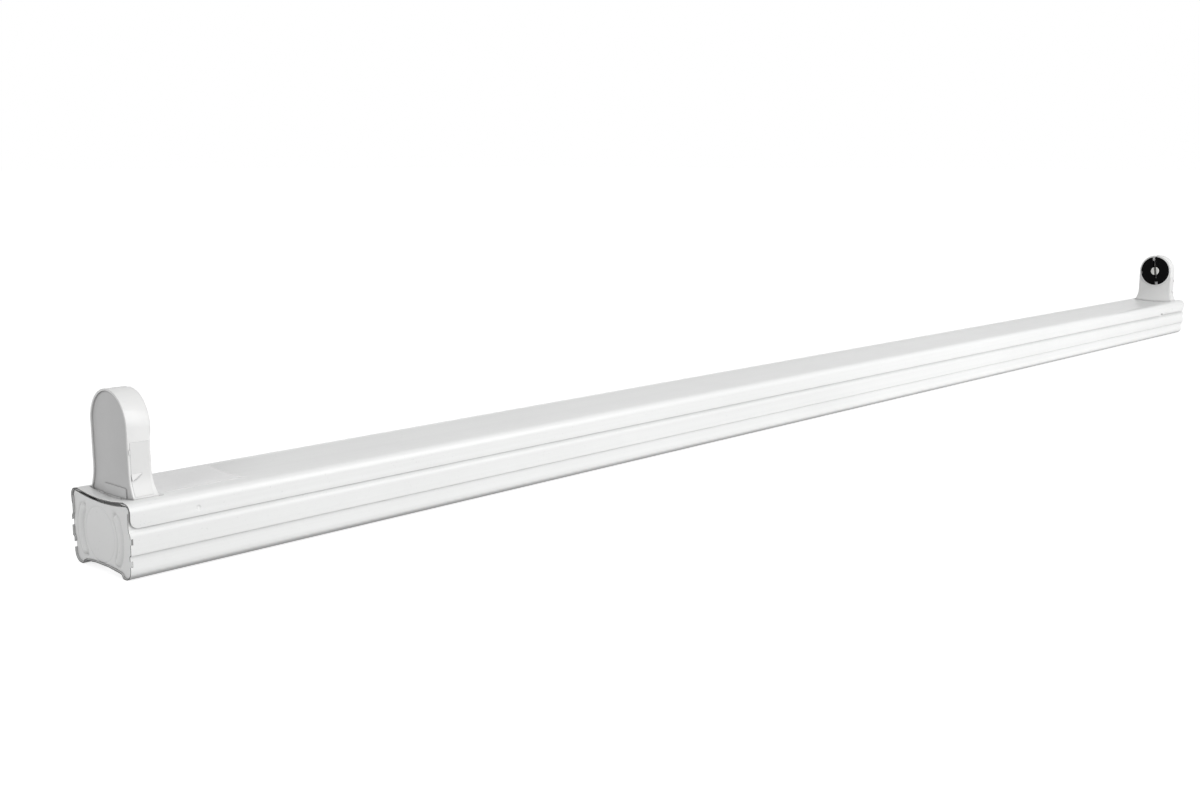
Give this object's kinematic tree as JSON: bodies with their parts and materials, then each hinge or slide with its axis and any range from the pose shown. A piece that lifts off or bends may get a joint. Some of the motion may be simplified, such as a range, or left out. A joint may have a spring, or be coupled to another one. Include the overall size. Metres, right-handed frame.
{
  "type": "linear light fixture",
  "caption": "Slim white sheet-steel batten for a straight tube, with a clip-on dished cover and a rotary lampholder standing at each end.",
  "frame": {"origin": "middle of the length and width, on the plane of the two foot ribs that lie against the ceiling", "axes": "+X along the batten towards the end whose cover flanges are notched, +Y across it, +Z away from the ceiling towards the lamp"},
  "size_m": [1.237, 0.054, 0.0832],
  "materials": {
    "white_enamel": "smooth white stove enamel on steel sheet, half gloss",
    "holder_white": "moulded white heat-resistant plastic, satin",
    "rotor_black": "moulded black plastic, half gloss",
    "core_white": "moulded white plastic, satin",
    "spring_brass": "bare rolled brass strip",
    "block_nylon": "natural nylon, matt",
    "clamp_brass": "bare turned brass",
    "screw_zinc": "bright zinc plate",
    "lug_tin": "tin plate on copper",
    "rivet_alloy": "bare aluminium alloy",
    "grommet_rubber": "soft black rubber, matt",
    "clip_nylon": "white nylon, matt",
    "wire_brown": "brown insulation",
    "wire_blue": "blue insulation",
    "wire_green_yellow": "green insulation with a yellow stripe",
    "label_film": "thin white film, bare"
  },
  "bodies": {
    "tray": {"base_channel": "white_enamel", "end_cap_left": "white_enamel", "end_cap_right": "white_enamel", "end_cap_rivets": "rivet_alloy", "lampholder_body_left": "holder_white", "lampholder_body_right": "holder_white", "lampholder_back_left": "holder_white", "lampholder_back_right": "holder_white", "contact_springs_left": "spring_brass", "contact_springs_right": "spring_brass", "terminal_block": "block_nylon", "terminal_clamps": "clamp_brass", "terminal_screws": "screw_zinc", "terminal_block_screw": "screw_zinc", "earth_lug": "lug_tin", "earth_washer": "screw_zinc", "earth_screw": "screw_zinc", "cable_grommet": "grommet_rubber", "wire_clips": "clip_nylon", "wire_live": "wire_brown", "wire_neutral": "wire_blue", "wire_earth": "wire_green_yellow"},
    "cover": {"cover": "white_enamel", "rating_label": "label_film"},
    "rotor_left": {"rotor_left": "rotor_black", "rotor_core_left": "core_white"},
    "rotor_right": {"rotor_right": "rotor_black", "rotor_core_right": "core_white"}
  },
  "joints": [
    {"name": "cover_lift", "type": "slide", "parent": "tray", "child": "cover", "axis": [0, 0, 1], "range_m": [0, 0.065]},
    {"name": "rotor_left_turn", "type": "hinge", "parent": "tray", "child": "rotor_left", "pos_m": [-0.6, 0, 0.0667], "axis": [-1, 0, 0], "range_deg": [-81, 99]},
    {"name": "rotor_right_turn", "type": "hinge", "parent": "tray", "child": "rotor_right", "pos_m": [0.6, 0, 0.0667], "axis": [1, 0, 0], "range_deg": [-81, 99]}
  ]
}
